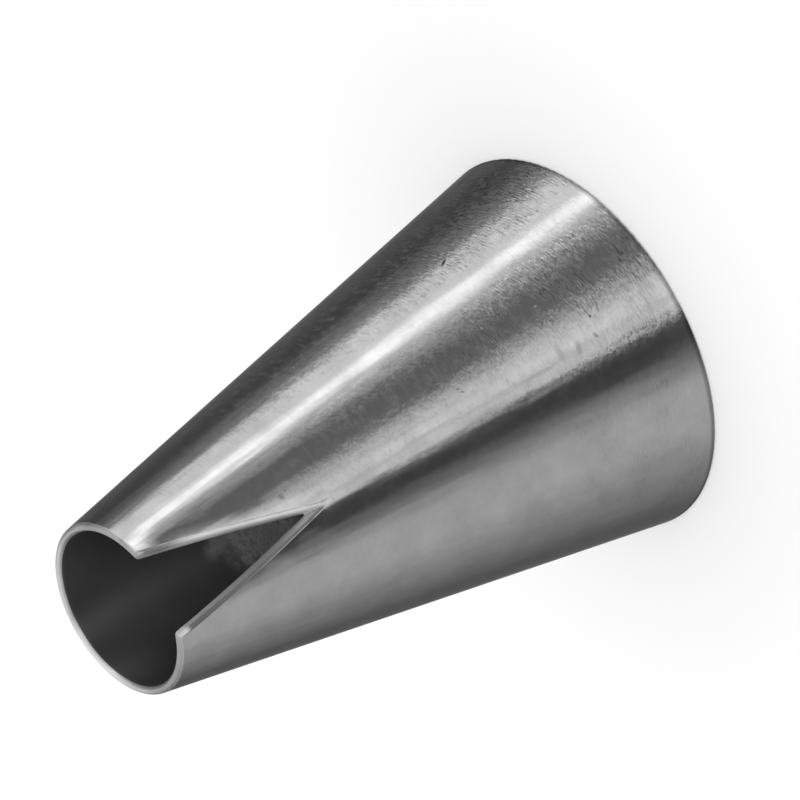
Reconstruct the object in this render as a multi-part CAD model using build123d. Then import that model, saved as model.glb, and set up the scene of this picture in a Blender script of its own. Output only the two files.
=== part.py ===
from build123d import *
import os
from math import atan2, cos, radians, sqrt, tan

# A piping nozzle: one cone of thin formed sheet, open at both ends, with a V notch in its mouth.
# Sizes are in millimetres. It stands on its wide rim, with +Z along the axis and the notch facing -Y.

# The cone
wide_diameter = 35.0      # outside, at the rim that a piping bag holds
mouth_diameter = 16.0     # outside, at the mouth that the filling leaves by
cone_height = 53.0
sheet_thickness = 0.8

# The wide rim, whose outer edge is tumbled round and whose inner edge is bevelled
wide_rim_round = 0.2
wide_rim_bevel = 0.2

# The lip, whose inner edge flares out in an arc and whose outer edge is polished round
mouth_flare_width = 0.3
mouth_flare_depth = 0.5
lip_round = 0.35

# The notch
notch_width = 7.7         # outside, between its flanks where they reach the mouth
notch_depth = 16.4        # outside, from the mouth to where its straight flanks would meet
flank_angle = 26.0        # in degrees, seen from above, between each flank and the plane between them
notch_root_radius = 0.1
notch_corner_radius = 0.45
cut_overrun = 5.0

wide_radius = wide_diameter / 2
mouth_radius = mouth_diameter / 2
half_angle = atan2(wide_radius - mouth_radius, cone_height)
wall_across = sheet_thickness / cos(half_angle)


def outer_radius(height):
    """Radius of the outside at a height above the wide rim."""
    return wide_radius - (wide_radius - mouth_radius) * height / cone_height


def inner_radius(height):
    """Radius of the inside, one sheet thickness in from the outside."""
    return outer_radius(height) - wall_across


def rim_corners(section):
    """Corners of the wall's section on the plane that the nozzle stands on, from the axis outwards."""
    return section.vertices().group_by(Axis.Y)[0].sort_by(Axis.X)


def wall_profile():
    """Half section of the wall, with x as the radius and y as the height."""
    flare_foot_height = cone_height - mouth_flare_depth
    base_inner = Vector(inner_radius(0), 0)
    base_outer = Vector(outer_radius(0), 0)
    mouth_outer = Vector(mouth_radius, cone_height)
    flare_top = Vector(inner_radius(cone_height) + mouth_flare_width, cone_height)
    flare_foot = Vector(inner_radius(flare_foot_height), flare_foot_height)
    up_the_inside = (flare_foot - base_inner).normalized()
    outline = [
        Edge.make_line(base_inner, base_outer),
        Edge.make_line(base_outer, mouth_outer),
        Edge.make_line(mouth_outer, flare_top),
        Edge.make_tangent_arc(flare_foot, up_the_inside, flare_top),
        Edge.make_line(flare_foot, base_inner),
    ]
    section = make_face(outline)
    section = fillet(rim_corners(section)[-1], wide_rim_round)
    return chamfer(rim_corners(section)[0], wide_rim_bevel)


def notch_cutter():
    """A wedge that slants from the middle of the mouth, down and out through the front wall.

    Its ridge is round and leaves the outside at the bottom of the notch. Its flanks slope, so the notch is
    wider on the outside of the sheet than on the inside.
    """
    slope = radians(flank_angle)
    half_width = notch_width / 2
    corner_reach = sqrt(mouth_radius**2 - half_width**2)
    ridge_top = Vector(0, half_width / tan(slope) - corner_reach, cone_height)
    bottom_height = cone_height - notch_depth
    ridge_foot = Vector(0, -outer_radius(bottom_height), bottom_height)
    slant = ridge_foot - ridge_top

    reach = ridge_top.Y + wide_radius + cut_overrun
    spread = reach * tan(slope)
    front = ridge_top.Y - reach
    wedge = make_face(Polyline((0, ridge_top.Y), (spread, front), (-spread, front), close=True))
    wedge = fillet(wedge.vertices().sort_by(Axis.Y)[-1], notch_root_radius)
    in_the_mouth = Plane.XY.offset(cone_height) * wedge
    return extrude(in_the_mouth, amount=slant.length + cut_overrun, dir=slant, both=True)


def mouth_corners(notched):
    """Edges where the notch's flanks meet the plane of the mouth."""
    return notched.edges().filter_by(GeomType.LINE).group_by(Axis.Z)[-1]


def outer_lip(notched):
    """Edges where the outside meets the mouth and the notch."""
    outside = notched.faces().filter_by(GeomType.CONE).sort_by(SortBy.AREA)[-1]
    lowest = cone_height - notch_depth
    return outside.edges().filter_by(lambda edge: edge.bounding_box().min.Z > lowest)


def nozzle_cone():
    """The whole nozzle: a revolved wall, less the notch, then rounds on the corners and the outer lip."""
    cone = revolve(Plane.XZ * wall_profile(), Axis.Z)
    notched = cone - notch_cutter()
    notched = fillet(mouth_corners(notched), notch_corner_radius)
    return fillet(outer_lip(notched), lip_round)


os.makedirs("parts", exist_ok=True)
nozzle = nozzle_cone()
export_step(nozzle, "parts/nozzle_cone.step")
print("nozzle_cone volume", round(nozzle.volume, 3), "mm3, faces", len(nozzle.faces()))
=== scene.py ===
import math
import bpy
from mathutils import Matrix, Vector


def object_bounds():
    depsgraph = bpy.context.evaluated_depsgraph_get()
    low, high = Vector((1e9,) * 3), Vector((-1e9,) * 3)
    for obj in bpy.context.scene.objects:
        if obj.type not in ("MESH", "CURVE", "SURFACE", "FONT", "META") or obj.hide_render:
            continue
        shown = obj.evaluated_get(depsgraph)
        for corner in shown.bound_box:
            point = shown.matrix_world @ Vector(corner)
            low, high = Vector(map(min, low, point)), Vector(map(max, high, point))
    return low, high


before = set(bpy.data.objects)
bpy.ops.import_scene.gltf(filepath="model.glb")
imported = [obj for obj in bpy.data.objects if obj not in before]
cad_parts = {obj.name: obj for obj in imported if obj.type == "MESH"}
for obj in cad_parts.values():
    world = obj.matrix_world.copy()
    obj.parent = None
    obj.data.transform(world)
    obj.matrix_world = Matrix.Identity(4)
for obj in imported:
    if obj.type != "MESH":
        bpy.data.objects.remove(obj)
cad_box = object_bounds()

from types import SimpleNamespace

import bpy
from mathutils import Matrix, Vector

# Lengths are in metres and angles in degrees, unless a name or a comment says otherwise.
# The nozzle stands on its wide rim with its axis on +Z, and its notch faces -Y.
MM = 0.001
NOZZLE_HEIGHT = cad_box[1].z
MOUTH_RADIUS = 8.0 * MM
FULL_RADIUS = 17.5 * MM
TAPER = (FULL_RADIUS - MOUTH_RADIUS) / NOZZLE_HEIGHT

# The camera: a long lens that looks down on the standing nozzle, rolled so that its mouth points
# down and to the left
CAMERA_AZIMUTH = 5.62
CAMERA_ELEVATION = 31.938
CAMERA_ROLL = -120.224
CAMERA_DISTANCE = 1172.77 * MM
CAMERA_AIM = Vector((3.2823, 0.3230, 18.3091)) * MM
CAMERA_LENS_MM = 617.54
CAMERA_SENSOR_MM = 36.0


def direction(azimuth, elevation):
    """Unit vector that points at a place in the studio; azimuth 0 is -Y and 90 is +X."""
    a = math.radians(azimuth)
    e = math.radians(elevation)
    return Vector((math.sin(a) * math.cos(e), -math.cos(a) * math.cos(e), math.sin(e)))


def add_camera():
    back = direction(CAMERA_AZIMUTH, CAMERA_ELEVATION)
    level_right = direction(CAMERA_AZIMUTH + 90, 0)
    level_up = back.cross(level_right)
    roll = math.radians(CAMERA_ROLL)
    right = level_right * math.cos(roll) + level_up * math.sin(roll)
    up = back.cross(right)
    data = bpy.data.cameras.new("photo_camera")
    data.sensor_width = CAMERA_SENSOR_MM
    data.lens = CAMERA_LENS_MM
    camera = bpy.data.objects.new("photo_camera", data)
    turn = Matrix((right, up, back)).transposed().to_4x4()
    camera.matrix_world = Matrix.Translation(CAMERA_AIM + back * CAMERA_DISTANCE) @ turn
    bpy.context.scene.collection.objects.link(camera)
    bpy.context.scene.camera = camera


class Tree:
    """A node tree being built, with short ways to add nodes and link sockets."""

    # The mix node has its own sockets for each kind of value: which go in, and which comes out
    MIX_SOCKETS = {"RGBA": ((0, 6, 7), 2), "FLOAT": ((0, 2, 3), 0)}

    def __init__(self, tree):
        self.tree = tree

    def node(self, kind, settings=None, **inputs):
        made = self.tree.nodes.new(kind)
        for name, value in (settings or {}).items():
            setattr(made, name, value)
        for name, value in inputs.items():
            self.put(made.inputs[name.replace("_", " ")], value)
        return made

    def put(self, socket, value):
        if isinstance(value, bpy.types.NodeSocket):
            self.tree.links.new(value, socket)
        else:
            socket.default_value = value

    def math(self, operation, *values, clamp=False):
        made = self.node("ShaderNodeMath", {"operation": operation, "use_clamp": clamp})
        for socket, value in zip(made.inputs, values):
            self.put(socket, value)
        return made.outputs[0]

    def product(self, first, *others):
        for other in others:
            first = self.math("MULTIPLY", first, other)
        return first

    def unless(self, mask):
        """One less the mask."""
        return self.math("SUBTRACT", 1.0, mask)

    def vector(self, operation, *values, result="Vector"):
        made = self.node("ShaderNodeVectorMath", {"operation": operation})
        for socket, value in zip(made.inputs, values):
            self.put(socket, value)
        return made.outputs[result]

    def dot(self, a, b):
        return self.vector("DOT_PRODUCT", a, b, result="Value")

    def parts(self, vector):
        return self.node("ShaderNodeSeparateXYZ", Vector=vector).outputs

    def ramp(self, value, low, high, to_low=0.0, to_high=1.0, smooth=True):
        kind = "SMOOTHSTEP" if smooth else "LINEAR"
        made = self.node("ShaderNodeMapRange", {"interpolation_type": kind})
        for socket, given in zip(made.inputs, (value, low, high, to_low, to_high)):
            self.put(socket, given)
        return made.outputs["Result"]

    def mixed(self, kind, *values):
        sockets, result = self.MIX_SOCKETS[kind]
        made = self.node("ShaderNodeMix", {"data_type": kind})
        for index, value in zip(sockets, values):
            self.put(made.inputs[index], value)
        return made.outputs[result]

    def mix(self, factor, a, b):
        """A colour between a and b."""
        return self.mixed("RGBA", factor, a, b)

    def mix_value(self, factor, a, b):
        """A number between a and b."""
        return self.mixed("FLOAT", factor, a, b)

    def group(self, group, **inputs):
        made = self.node("ShaderNodeGroup", {"node_tree": group})
        for name, value in inputs.items():
            self.put(made.inputs[name.replace("_", " ")], value)
        return made.outputs


FLOAT = "NodeSocketFloat"
VECTOR = "NodeSocketVector"
WHITE = (1.0, 1.0, 1.0, 1.0)
NOWHERE = (0.0, 0.0, 0.0)
LEVEL_PART = (1.0, 1.0, 0.0)


def new_group(name, inputs, outputs):
    """A shader node group with the named sockets, its tree, and its input and output sockets."""
    group = bpy.data.node_groups.new(name, "ShaderNodeTree")
    for label, kind, default in inputs:
        socket = group.interface.new_socket(label, in_out="INPUT", socket_type=kind)
        socket.default_value = default
    for label, kind in outputs:
        group.interface.new_socket(label, in_out="OUTPUT", socket_type=kind)
    tree = Tree(group)
    given = tree.node("NodeGroupInput").outputs
    out = tree.node("NodeGroupOutput").inputs
    return group, tree, given, out


# The studio: what the steel mirrors, all round the nozzle.
# Where each panel starts, is full from, is full to and ends, and its level; azimuths are from the
# camera's own.
PANELS = [
    (-181.0, -180.0, -174.0, -165.0, 0.45),
    (-181.0, -180.0, -150.0, -105.0, 0.085),
    (-142.0, -78.0, -54.0, -29.5, 0.53),
    (-16.1, -11.5, -7.0, -2.4, 0.88),
    (-5.6, -1.0, 2.0, 24.0, 0.99),
    (4.0, 14.0, 34.0, 54.0, 0.12),
    (40.5, 66.5, 89.0, 96.5, 0.95),
    (60.5, 65.5, 69.5, 73.5, 0.92),
    (84.0, 92.0, 102.0, 120.0, 0.22),
    (110.0, 150.0, 180.0, 181.0, 0.08),
    (165.0, 174.0, 180.0, 181.0, 0.45),
]
SURROUND_LEVEL = 0.035
OVERHEAD_LEVEL = 1.05
OVERHEAD_ELEVATIONS = (18.0, 40.0)
UNDER_LEVEL = 0.06
UNDER_ELEVATIONS = (-65.0, -85.0)
PLAIN_LEVEL = 1.0


def panel_group():
    """Level of one tall light panel seen in a direction: it fades in, stays full and fades out."""
    group, tree, given, out = new_group(
        "studio_panel",
        [("Azimuth", FLOAT, 0.0), ("Starts", FLOAT, -20.0), ("Full From", FLOAT, -10.0),
         ("Full To", FLOAT, 10.0), ("Ends", FLOAT, 20.0), ("Level", FLOAT, 1.0)],
        [("Level", FLOAT)],
    )
    fade_in = tree.ramp(given["Azimuth"], given["Starts"], given["Full From"], smooth=False)
    fade_out = tree.ramp(given["Azimuth"], given["Full To"], given["Ends"], 1.0, 0.0, smooth=False)
    tree.put(out["Level"], tree.product(fade_in, fade_out, given["Level"]))
    return group


def add_world():
    """The panels, for what the steel mirrors, and a plain white level for everything else."""
    world = bpy.data.worlds.new("studio")
    bpy.context.scene.world = world
    world.use_nodes = True
    world.node_tree.nodes.clear()
    tree = Tree(world.node_tree)
    looking = tree.parts(tree.node("ShaderNodeTexCoord").outputs["Generated"])
    azimuth = tree.math("ARCTAN2", looking["X"], tree.product(looking["Y"], -1.0))
    azimuth = tree.math("SUBTRACT", tree.math("DEGREES", azimuth), CAMERA_AZIMUTH)
    azimuth = tree.math("WRAP", azimuth, 180.0, -180.0)
    elevation = tree.math("DEGREES", tree.math("ARCSINE", looking["Z"]))

    panel = panel_group()
    level = SURROUND_LEVEL
    for starts, full_from, full_to, ends, strength in PANELS:
        lit = tree.group(panel, Azimuth=azimuth, Starts=starts, Full_From=full_from,
                         Full_To=full_to, Ends=ends, Level=strength)
        level = tree.math("ADD", lit["Level"], level)
    level = tree.mix_value(tree.ramp(elevation, *OVERHEAD_ELEVATIONS), level, OVERHEAD_LEVEL)
    level = tree.mix_value(tree.ramp(elevation, *UNDER_ELEVATIONS), level, UNDER_LEVEL)

    path = tree.node("ShaderNodeLightPath").outputs
    seen = tree.mix_value(path["Is Glossy Ray"], PLAIN_LEVEL, level)
    background = tree.node("ShaderNodeBackground", Color=WHITE, Strength=seen)
    output = tree.node("ShaderNodeOutputWorld")
    tree.put(output.inputs["Surface"], background.outputs[0])


FLOOR_HALF_SIDE = 1.5
FLOOR_COLOUR = (0.94, 0.94, 0.94, 1.0)
FLOOR_ROUGHNESS = 0.9
FLOOR_LIFT = 0.12


def add_floor():
    """A pale floor that keeps the nozzle's shadow and that the steel doesn't mirror."""
    places = ((-1, -1), (1, -1), (1, 1), (-1, 1))
    corners = [(x * FLOOR_HALF_SIDE, y * FLOOR_HALF_SIDE, 0) for x, y in places]
    mesh = bpy.data.meshes.new("floor")
    mesh.from_pydata(corners, [], [(0, 1, 2, 3)])
    floor = bpy.data.objects.new("floor", mesh)
    bpy.context.scene.collection.objects.link(floor)
    material = bpy.data.materials.new("pale_floor")
    material.use_nodes = True
    shader = material.node_tree.nodes["Principled BSDF"]
    shader.inputs["Base Color"].default_value = FLOOR_COLOUR
    shader.inputs["Roughness"].default_value = FLOOR_ROUGHNESS
    shader.inputs["Specular IOR Level"].default_value = 0.0
    shader.inputs["Emission Color"].default_value = WHITE
    tree = Tree(material.node_tree)
    path = tree.node("ShaderNodeLightPath").outputs
    seen = tree.math("ADD", path["Is Camera Ray"], path["Is Glossy Ray"])
    seen = tree.math("ADD", seen, path["Is Transmission Ray"], clamp=True)
    tree.put(shader.inputs["Emission Strength"], tree.product(seen, FLOOR_LIFT))
    mesh.materials.append(material)
    floor.visible_glossy = False


# From here on, points, heights and depths are in mm, and facings are cosines.
# A ramp has where it starts and ends, and the values there if they aren't 0 and 1.
OUTSIDE_FACING = (0.92, 0.978)
INSIDE_FACING = (-0.90, -0.975)
RING_FACING = (0.45, 0.75)
CUT_TURN = (37.0, 53.0, 0.0, 0.42)
ROUND_LIP_FACING = (0.50, 0.68)


def nozzle_zones():
    """Masks of the outside, the inside and the edges between them, from a point and its facing.

    Depth is how far the point is under the outside.
    """
    group, tree, given, out = new_group(
        "nozzle_zones",
        [("Point", VECTOR, NOWHERE), ("Facing", VECTOR, (0.0, 0.0, 1.0))],
        [("Outside", FLOAT), ("Inside", FLOAT), ("Mouth Ring", FLOAT), ("Cut Faces", FLOAT),
         ("Round Lip", FLOAT), ("Height", FLOAT), ("Depth", FLOAT)],
    )
    height = tree.parts(given["Point"])["Z"]
    level = tree.vector("MULTIPLY", given["Point"], LEVEL_PART)
    facing_out = tree.dot(tree.vector("NORMALIZE", level), given["Facing"])
    facing_up = tree.parts(given["Facing"])["Z"]
    outside = tree.ramp(facing_out, *OUTSIDE_FACING)
    inside = tree.ramp(facing_out, *INSIDE_FACING)
    edges = tree.math("SUBTRACT", 1.0, tree.math("ADD", outside, inside), clamp=True)
    ring = tree.product(edges, tree.ramp(facing_up, *RING_FACING))
    # The cut's faces turn outwards with the height, and the round lip with them
    turned = tree.math("ADD", facing_out, tree.ramp(height, *CUT_TURN, smooth=False))
    skin = tree.math("MULTIPLY_ADD", height, -TAPER, FULL_RADIUS / MM)
    radius = tree.vector("LENGTH", level, result="Value")
    tree.put(out["Outside"], outside)
    tree.put(out["Inside"], inside)
    tree.put(out["Mouth Ring"], ring)
    tree.put(out["Cut Faces"], tree.math("SUBTRACT", edges, ring, clamp=True))
    tree.put(out["Round Lip"], tree.ramp(turned, *ROUND_LIP_FACING))
    tree.put(out["Height"], height)
    tree.put(out["Depth"], tree.math("SUBTRACT", skin, radius))
    return group


GRAIN_ROUGHNESS = 0.6
NOISE_TO_GRAIN = (0.25, 0.75, -1.0, 1.0)


def spun_grain():
    """A noise from -1 to 1, with its own frequency round the cone and along the axis."""
    group, tree, given, out = new_group(
        "spun_grain",
        [("Point", VECTOR, NOWHERE), ("Around", FLOAT, 1.0), ("Along Axis", FLOAT, 8.0),
         ("Detail", FLOAT, 2.0), ("Offset", FLOAT, 0.0)],
        [("Grain", FLOAT)],
    )
    squeeze = tree.node("ShaderNodeCombineXYZ", X=given["Around"], Y=given["Around"],
                        Z=given["Along Axis"])
    spread = tree.vector("MULTIPLY", given["Point"], squeeze.outputs[0])
    moved = tree.vector("ADD", spread, given["Offset"])
    noise = tree.node("ShaderNodeTexNoise", Vector=moved, Scale=1.0, Detail=given["Detail"],
                      Roughness=GRAIN_ROUGHNESS)
    tree.put(out["Grain"], tree.ramp(noise.outputs[0], *NOISE_TO_GRAIN, smooth=False))
    return group


# The notch's lips roll inwards a little, as the cutting left them, over this width and depth.
# The corner between the right lip and the mouth is sprung outwards instead.
NOTCH_HALF_WIDTH = 3.85
NOTCH_FOOT = 36.6
LIP_ROLL_WIDTH = 1.6
RIGHT_ROLL_DEPTH = 0.19
LEFT_ROLL_DEPTH = 0.025
ROLL_GROWS = (38.0, 50.0, 0.30, 1.0)
ROLL_ENDS = (50.0, 52.2, 1.0, 0.2)
CORNER_WIDTH = 2.6
CORNER_DEPTH = 0.24
CORNER_RISES = (49.6, 52.2)
FRONT_WALL = (-2.0, -4.0)
RIGHT_OF_NOTCH = (-0.2, 0.2)


def notch_lips():
    """How far the sheet is rolled in beside the notch, and how near its edge is, from a point."""
    group, tree, given, out = new_group(
        "notch_lips",
        [("Point", VECTOR, NOWHERE)],
        [("Drop", FLOAT), ("Near", FLOAT), ("Right", FLOAT)],
    )
    place = tree.parts(given["Point"])
    above_foot = tree.math("SUBTRACT", place["Z"], NOTCH_FOOT)
    spread = NOTCH_HALF_WIDTH / (NOZZLE_HEIGHT / MM - NOTCH_FOOT)
    lip = tree.math("MAXIMUM", tree.product(above_foot, spread), 0.0)
    aside = tree.math("SUBTRACT", tree.math("ABSOLUTE", place["X"]), lip)
    aside = tree.math("MAXIMUM", aside, 0.0)
    below = tree.math("MAXIMUM", tree.product(above_foot, -1.0), 0.0)
    away = tree.math("ADD", tree.product(aside, aside), tree.product(below, below))
    away = tree.math("SQRT", away)
    front = tree.ramp(place["Y"], *FRONT_WALL)
    right = tree.ramp(place["X"], *RIGHT_OF_NOTCH)

    near = tree.math("SUBTRACT", 1.0, tree.math("DIVIDE", away, LIP_ROLL_WIDTH), clamp=True)
    near = tree.product(near, front)
    deepest = tree.mix_value(right, LEFT_ROLL_DEPTH, RIGHT_ROLL_DEPTH)
    drop = tree.product(near, near, deepest, tree.ramp(place["Z"], *ROLL_GROWS),
                        tree.ramp(place["Z"], *ROLL_ENDS))

    corner = tree.math("SUBTRACT", 1.0, tree.math("DIVIDE", away, CORNER_WIDTH), clamp=True)
    corner = tree.product(corner, corner, CORNER_DEPTH, tree.ramp(place["Z"], *CORNER_RISES),
                          front, right)
    tree.put(out["Drop"], tree.math("SUBTRACT", drop, corner))
    tree.put(out["Near"], near)
    tree.put(out["Right"], right)
    return group


MARK_EDGE = (0.3, 1.0, 1.0, 0.0)
MARK_DEPTHS = (-3.0, -2.0)


def spot_mask():
    """Mask of one mark round a centre: a scratch, dot or stain, a painted glint or a painted patch
    of light.

    Along and Across are its directions over its half sizes. The mark doesn't reach the far wall.
    """
    group, tree, given, out = new_group(
        "spot_mask",
        [("Point", VECTOR, NOWHERE), ("Centre", VECTOR, NOWHERE),
         ("Along", VECTOR, (1.0, 0.0, 0.0)), ("Across", VECTOR, (0.0, 0.0, 1.0)),
         ("Outward", VECTOR, (0.0, -1.0, 0.0)), ("Strength", FLOAT, 1.0)],
        [("Mark", FLOAT)],
    )
    offset = tree.vector("SUBTRACT", given["Point"], given["Centre"])
    along = tree.dot(offset, given["Along"])
    across = tree.dot(offset, given["Across"])
    reach = tree.math("ADD", tree.product(along, along), tree.product(across, across))
    reach = tree.math("SQRT", reach)
    this_wall = tree.ramp(tree.dot(offset, given["Outward"]), *MARK_DEPTHS)
    core = tree.ramp(reach, *MARK_EDGE)
    tree.put(out["Mark"], tree.product(core, this_wall, given["Strength"]))
    return group


# Marks: azimuth, height, lean from level, length and width, strength
DARK_MARKS = [
    (55.6, 13.65, 118.0, 1.35, 0.40, 0.95),
    (61.3, 4.14, 0.0, 0.42, 0.36, 0.90),
    (10.4, 7.68, 0.0, 0.40, 0.36, 0.75),
    (4.5, 8.10, 20.0, 0.90, 0.36, 0.45),
    (12.8, 39.74, 30.0, 0.90, 0.60, 0.42),
    (14.4, 39.10, 0.0, 0.45, 0.35, 0.35),
    (5.2, 11.78, 2.0, 2.60, 0.85, 0.20),
    (3.2, 10.05, -14.0, 2.40, 0.70, 0.26),
    (2.9, 14.30, 88.0, 4.80, 0.55, 0.16),
    (51.6, 12.90, 20.0, 0.55, 0.30, 0.50),
    (10.8, 21.04, 60.0, 0.60, 0.30, 0.45),
    (12.6, 21.30, 70.0, 0.70, 0.30, 0.30),
]
LIGHT_MARKS = [
    (0.6, 10.94, 0.0, 1.00, 0.66, 0.60),
    (1.6, 12.60, 0.0, 0.80, 0.56, 0.45),
    (22.2, 11.18, 0.0, 0.40, 0.34, 0.60),
    (25.9, 16.16, 0.0, 0.36, 0.32, 0.55),
    (17.6, 20.84, 0.0, 0.36, 0.30, 0.40),
    (7.6, 9.66, 10.0, 1.30, 0.90, 0.60),
    (0.4, 11.06, 0.0, 1.20, 0.80, 0.85),
    (0.6, 9.40, 75.0, 2.40, 0.60, 0.75),
]
# Pale patches inside: a real mottled film, with a painted pool of light on the far wall
FILM_AND_LIGHT_INSIDE = [
    (-171.5, 30.4, 84.0, 11.0, 9.0, 1.0),
    (-178.0, 35.0, 70.0, 5.0, 3.0, 0.35),
]
# Painted glints: the left lip's corner at the mouth, and a streak on the mouth ring at the back
PAINTED_GLINTS = [
    (-27.0, 52.4, 90.0, 1.6, 1.6, 1.0),
    (-153.0, 53.0, 0.0, 7.0, 2.4, 0.55),
]


def add_marks(tree, mark_group, point, marks):
    """The strongest of several marks at each point, painted glints and light among them."""
    up = Vector((0.0, 0.0, 1.0))
    strongest = 0.0
    for azimuth, height, lean, length, width, strength in marks:
        radius = FULL_RADIUS / MM - TAPER * height
        outward = direction(azimuth, 0.0)
        level = direction(azimuth + 90.0, 0.0)
        lean = math.radians(lean)
        along = level * math.cos(lean) + up * math.sin(lean)
        across = up * math.cos(lean) - level * math.sin(lean)
        made = tree.group(mark_group, Point=point, Centre=outward * radius + up * height,
                          Along=along * (2.0 / length), Across=across * (2.0 / width),
                          Outward=outward, Strength=strength)
        strongest = tree.math("MAXIMUM", made["Mark"], strongest)
    return strongest


# The grains: how often each varies per mm round the cone and along its axis, its detail, and
# where in the noise it is taken. The waves vary round the cone per radius instead.
FINE_GRAIN = {"Around": 1.1, "Along_Axis": 6.4, "Detail": 1.8}
MOTTLE_GRAIN = {"Around": 1.15, "Along_Axis": 1.7, "Detail": 3.0, "Offset": 17.0}
CLOUD_GRAIN = {"Around": 0.30, "Along_Axis": 0.30, "Detail": 3.0, "Offset": 41.0}
FILM_GRAIN = {"Around": 0.9, "Along_Axis": 0.9, "Detail": 4.0, "Offset": 5.0}
WAVE_GRAIN = {"Around": 8.0, "Along_Axis": 0.10, "Detail": 1.5, "Offset": 29.0}

# Which sides of the cone the grain and the mottle keep to, and their strength there
LEAST_POLISHED = (0.707, -0.707, 0.0)
LEAST_POLISHED_FACING = (0.64, 0.93, 0.20, 1.0)
BEHIND_FACING = (0.05, 0.60, 0.20, 0.55)
BUFFED_STRIP = (0.664, -0.748, 0.0)
BUFFED_FACING = (0.992, 0.9985, 1.0, 0.20)
BLOTCHED_SIDE = (0.259, -0.966, 0.0)
BLOTCHED_FACING = (0.91, 0.96)
BLOTCHED_HEIGHTS = (4.0, 24.0, 1.0, 0.0)
BLOTCHED_MOTTLE = 0.65
WORN_HEIGHTS = (5.0, 25.0, 1.35, 0.20)
WORN_CLOUDS = (-0.5, 0.4, 0.30, 1.0)
MOTTLED_HEIGHTS = (30.0, 46.0, 1.0, 0.2)
FILM_CLUMPS = (-0.45, 0.25, 0.30, 1.0)

# Where the mouth's ring is at the back, and where the notch's lips get painted light: highlight on
# the right lip, shade on the left
RING_BACK_PLACE = (-6.0, 3.0)
RIGHT_LIP_HIGHLIGHT_HEIGHTS = (47.5, 51.5, 1.0, 0.2)
LIP_HEIGHTS = (1.0, 30.0)
LIP_TOP = (52.2, 52.6, 1.0, 0.0)
BESIDE_FOOT = (37.5, 40.5)
BESIDE_TOP = (46.5, 49.5, 1.0, 0.0)


def steel_masks(tree, place):
    """Every mask and grain of the steel, by name, from the texture coordinates."""
    point = tree.vector("MULTIPLY", place["Object"], (1.0 / MM,) * 3)
    zones = tree.group(nozzle_zones(), Point=point, Facing=place["Normal"])
    lips = tree.group(notch_lips(), Point=point)
    outside, inside, cut = zones["Outside"], zones["Inside"], zones["Cut Faces"]
    height, near, right = zones["Height"], lips["Near"], lips["Right"]
    edges = tree.math("ADD", zones["Mouth Ring"], cut)

    grain = spun_grain()
    fine = tree.group(grain, Point=point, **FINE_GRAIN)["Grain"]
    mottle = tree.group(grain, Point=point, **MOTTLE_GRAIN)["Grain"]
    cloud = tree.group(grain, Point=point, **CLOUD_GRAIN)["Grain"]
    clumps = tree.group(grain, Point=point, **FILM_GRAIN)["Grain"]
    radial = tree.vector("NORMALIZE", tree.vector("MULTIPLY", point, LEVEL_PART))
    turn = tree.parts(radial)
    wavy = tree.node("ShaderNodeCombineXYZ", X=turn["X"], Y=turn["Y"], Z=height).outputs[0]
    waves = tree.group(grain, Point=wavy, **WAVE_GRAIN)["Grain"]

    # Grain is strongest near the wide rim; both it and the mottle keep to the least polished sides
    least = tree.ramp(tree.dot(radial, LEAST_POLISHED), *LEAST_POLISHED_FACING)
    least = tree.math("MAXIMUM", least, tree.ramp(turn["Y"], *BEHIND_FACING))
    buffed = tree.ramp(tree.dot(radial, BUFFED_STRIP), *BUFFED_FACING)
    unpolished = tree.product(least, outside, buffed)
    worn = tree.product(tree.ramp(height, *WORN_HEIGHTS), tree.ramp(cloud, *WORN_CLOUDS))
    mottled = tree.product(unpolished, tree.ramp(height, *MOTTLED_HEIGHTS))
    blotched = tree.product(tree.ramp(tree.dot(radial, BLOTCHED_SIDE), *BLOTCHED_FACING),
                            tree.ramp(height, *BLOTCHED_HEIGHTS), outside, buffed)
    mottled = tree.math("MAXIMUM", mottled, tree.product(blotched, BLOTCHED_MOTTLE))

    mark_group = spot_mask()
    dark = tree.product(add_marks(tree, mark_group, point, DARK_MARKS), outside)
    light = tree.product(add_marks(tree, mark_group, point, LIGHT_MARKS), outside)
    # A real mottled film inside, with a painted pool of light on the far wall
    film_and_light = tree.product(add_marks(tree, mark_group, point, FILM_AND_LIGHT_INSIDE), inside,
                        tree.ramp(clumps, *FILM_CLUMPS))
    # Painted glints on the edges
    bright = tree.product(add_marks(tree, mark_group, point, PAINTED_GLINTS), edges)

    lip = tree.product(cut, zones["Round Lip"], tree.ramp(height, *LIP_TOP),
                       tree.ramp(height, *LIP_HEIGHTS))
    # Where painted shade goes on the outside beside the left lip
    beside_left = tree.product(tree.ramp(height, *BESIDE_FOOT), tree.ramp(height, *BESIDE_TOP),
                               tree.unless(right), near, near, outside)
    return SimpleNamespace(
        outside=outside, inside=inside, ring=zones["Mouth Ring"], cut=cut, edges=edges,
        ring_back=tree.ramp(tree.parts(point)["Y"], *RING_BACK_PLACE),
        height=height, depth=zones["Depth"], near=near, drop=lips["Drop"], lip=lip,
        right_lip_highlight=tree.product(right, tree.ramp(height, *RIGHT_LIP_HIGHLIGHT_HEIGHTS)), beside_left=beside_left,
        fine=fine, mottle=mottle, cloud=cloud, waves=waves,
        grainy=tree.product(worn, unpolished), mottled=mottled, blotched=blotched,
        dark=dark, light=light, film_and_light=film_and_light, bright=bright,
    )


POLISHED_STEEL = (0.61, 0.61, 0.61, 1.0)
BRIGHT_STEEL = (0.80, 0.80, 0.80, 1.0)
# The inside is painted much darker than the steel outside: painted shade. Its matt finish is in
# the roughness.
SHADED_INSIDE_STEEL = (0.16, 0.16, 0.16, 1.0)
CUT_STEEL = (0.62, 0.62, 0.62, 1.0)
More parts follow.
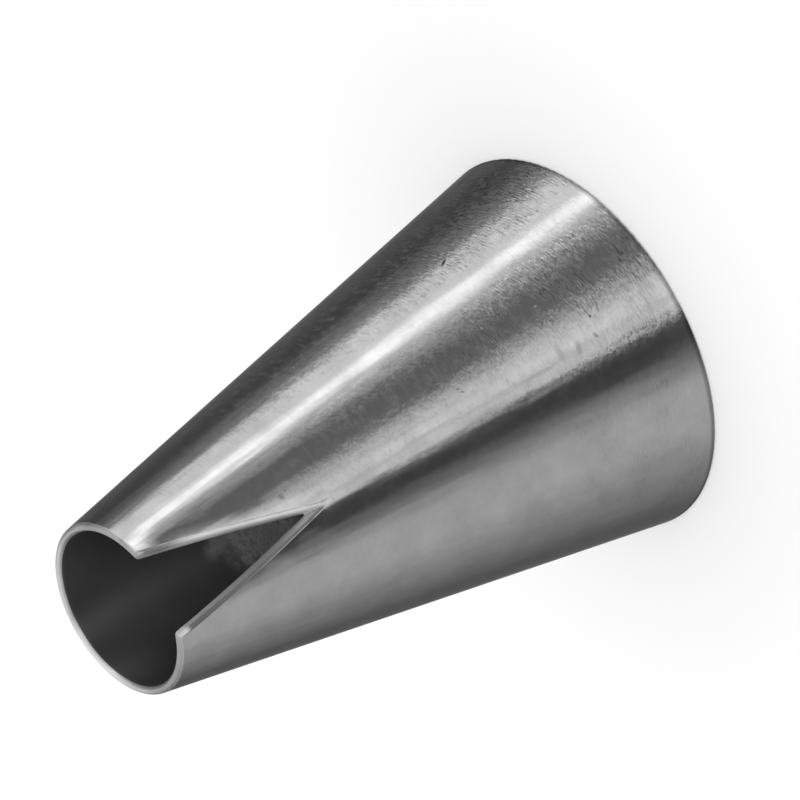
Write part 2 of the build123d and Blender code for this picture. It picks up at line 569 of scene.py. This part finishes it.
# The right lip and its cut faces are painted light, a painted highlight, and the left lip dark,
# painted shade. The light colour also paints the glints.
LIP_HIGHLIGHT = (0.93, 0.93, 0.93, 1.0)
LIP_SHADE = (0.22, 0.22, 0.22, 1.0)
# The mouth ring is painted darker at the front and lighter at the back: painted shade and painted
# highlight.
RING_FRONT_SHADE = (0.46, 0.46, 0.46, 1.0)
RING_BACK_HIGHLIGHT = (0.78, 0.78, 0.78, 1.0)
# Dark for real stains, grain and marks, and for the painted shade beside the left lip and at the
# rim's foot
STAIN_AND_SHADE = (0.08, 0.08, 0.08, 1.0)
# A pale patch inside: a real mottled film and a painted pool of light
FILM_AND_LIGHT_COLOUR = (0.95, 0.95, 0.95, 1.0)

# How much of a colour each grain brings, and the painted highlight beside the right lip and the
# painted shade beside the left lip
NEAR_LIP_HIGHLIGHT = 0.5
# Painted shade on the outside beside the left lip
BESIDE_LEFT_SHADE = 0.6
CLOUD_STAIN = (-1.0, 1.0, 0.0, 0.22)
FINE_STAIN = (0.15, 0.80, 0.0, 0.48)
FINE_SHINE = (-0.25, -0.85, 0.0, 0.52)
MOTTLE_STAIN = (0.0, 1.0, 0.0, 0.22)
BLOTCH_SHINE = (-0.1, -0.9, 0.0, 0.35)
# A dark band painted along the foot of the wide rim: painted shade
RIM_FOOT_SHADE = (0.25, 0.65, 0.55, 0.0)


def steel_colour(tree, masks):
    # Painted highlight on the outside near the right lip
    near_lip = tree.product(masks.near, masks.right_lip_highlight, NEAR_LIP_HIGHLIGHT)
    ring = tree.mix(masks.ring_back, RING_FRONT_SHADE, RING_BACK_HIGHLIGHT)
    cut = tree.mix(masks.right_lip_highlight, CUT_STEEL, LIP_HIGHLIGHT)
    lip = tree.mix(masks.right_lip_highlight, LIP_SHADE, LIP_HIGHLIGHT)
    # Painted light among these layers: the highlight near the right lip, the ring's front shade
    # and back highlight, the darker inside, the lips' highlight and shade, the shade beside the
    # left lip and at the rim's foot, the glints, and the pool of light inside
    layers = [
        (near_lip, BRIGHT_STEEL),
        (masks.inside, SHADED_INSIDE_STEEL),
        (masks.ring, ring),
        (masks.cut, cut),
        (masks.lip, lip),
        (tree.product(masks.beside_left, BESIDE_LEFT_SHADE), STAIN_AND_SHADE),
        (tree.ramp(masks.cloud, *CLOUD_STAIN, smooth=False), STAIN_AND_SHADE),
        (tree.product(tree.ramp(masks.fine, *FINE_STAIN), masks.grainy), STAIN_AND_SHADE),
        (tree.product(tree.ramp(masks.fine, *FINE_SHINE), masks.grainy), BRIGHT_STEEL),
        (tree.product(tree.ramp(masks.mottle, *MOTTLE_STAIN), masks.mottled), STAIN_AND_SHADE),
        (tree.product(tree.ramp(masks.mottle, *BLOTCH_SHINE), masks.blotched), BRIGHT_STEEL),
        (masks.dark, STAIN_AND_SHADE),
        (masks.light, BRIGHT_STEEL),
        (masks.bright, LIP_HIGHLIGHT),
        (masks.film_and_light, FILM_AND_LIGHT_COLOUR),
        (tree.ramp(masks.height, *RIM_FOOT_SHADE), STAIN_AND_SHADE),
    ]
    colour = POLISHED_STEEL
    for factor, layer in layers:
        colour = tree.mix(factor, colour, layer)
    return colour


# How matt the cut faces are, by height on the right side and by depth on the other
RIGHT_CUT_MATT = (38.0, 50.0, 0.40, 0.12)
LEFT_CUT_MATT = (0.15, 0.80, 0.60, 0.20)
NEAR_LIP_MATT = 0.60
FOOT_MATT = (0.8, 4.0, 0.022, 0.0)
MOTTLE_MATT = (-0.1, 0.9, 0.0, 0.12)


def steel_metallic(tree, masks):
    """How much of the light is mirrored as metal does; the rest is scattered."""
    cut_matt = tree.mix_value(masks.right_lip_highlight, tree.ramp(masks.height, *RIGHT_CUT_MATT),
                              tree.ramp(masks.depth, *LEFT_CUT_MATT))
    near_lip = tree.product(masks.near, masks.near, masks.right_lip_highlight, masks.outside)
    matt = tree.product(masks.cut, cut_matt)
    matt = tree.math("MULTIPLY_ADD", near_lip, NEAR_LIP_MATT, matt)
    matt = tree.math("MAXIMUM", matt, masks.film_and_light)
    matt = tree.math("ADD", matt, tree.ramp(masks.height, *FOOT_MATT))
    patches = tree.product(tree.ramp(masks.mottle, *MOTTLE_MATT), masks.mottled)
    return tree.unless(tree.math("MAXIMUM", matt, patches))


SATIN_ROUGHNESS = 0.235
INSIDE_ROUGHNESS = 0.58
EDGE_ROUGHNESS = 0.44
MARK_ROUGHNESS = 0.55
CLOUD_ROUGHNESS = 0.03
MOTTLE_ROUGHNESS = 0.03


def steel_roughness(tree, masks):
    rough = tree.mix_value(masks.inside, SATIN_ROUGHNESS, INSIDE_ROUGHNESS)
    rough = tree.mix_value(masks.edges, rough, EDGE_ROUGHNESS)
    rough = tree.math("MULTIPLY_ADD", masks.cloud, CLOUD_ROUGHNESS, rough)
    blotches = tree.product(masks.mottle, masks.mottled)
    rough = tree.math("MULTIPLY_ADD", blotches, MOTTLE_ROUGHNESS, rough)
    marks = tree.math("MAXIMUM", masks.dark, masks.light)
    return tree.mix_value(marks, rough, MARK_ROUGHNESS)


GRAIN_DEPTH = 0.019
DEEPEST_GRAIN = 0.8
MOTTLE_DEPTH = 0.0075
WAVE_DEPTH = 0.009


def steel_relief(tree, masks):
    """Height of the grain, the mottle, the waves and the rolled lips, as a normal."""
    cut_in = tree.math("MINIMUM", masks.grainy, DEEPEST_GRAIN)
    relief = tree.product(masks.fine, cut_in, GRAIN_DEPTH)
    mottle = tree.product(masks.mottle, masks.mottled)
    relief = tree.math("MULTIPLY_ADD", mottle, MOTTLE_DEPTH, relief)
    waves = tree.product(masks.waves, masks.outside)
    relief = tree.math("MULTIPLY_ADD", waves, WAVE_DEPTH, relief)
    rolled = tree.product(masks.drop, tree.unless(masks.inside))
    relief = tree.math("SUBTRACT", relief, rolled)
    bump = tree.node("ShaderNodeBump", Height=relief, Strength=1.0, Distance=MM)
    return bump.outputs["Normal"]


ANISOTROPY = 0.9
ANISOTROPY_TURNS = 0.25


def satin_steel():
    """The steel: a point's place and facing tell the outside, the inside and the edges apart."""
    material = bpy.data.materials.new("satin_steel")
    material.use_nodes = True
    tree = Tree(material.node_tree)
    shader = material.node_tree.nodes["Principled BSDF"]
    masks = steel_masks(tree, tree.node("ShaderNodeTexCoord").outputs)
    tangent = tree.node("ShaderNodeTangent", {"direction_type": "RADIAL", "axis": "Z"})
    tree.put(shader.inputs["Base Color"], steel_colour(tree, masks))
    tree.put(shader.inputs["Metallic"], steel_metallic(tree, masks))
    tree.put(shader.inputs["Roughness"], steel_roughness(tree, masks))
    tree.put(shader.inputs["Normal"], steel_relief(tree, masks))
    tree.put(shader.inputs["Tangent"], tangent.outputs[0])
    shader.inputs["Anisotropic"].default_value = ANISOTROPY
    shader.inputs["Anisotropic Rotation"].default_value = ANISOTROPY_TURNS
    return material


add_camera()
add_world()
add_floor()
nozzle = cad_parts["nozzle_cone"]
nozzle.material_slots[0].material = satin_steel()
bpy.context.scene.view_settings.view_transform = "Standard"
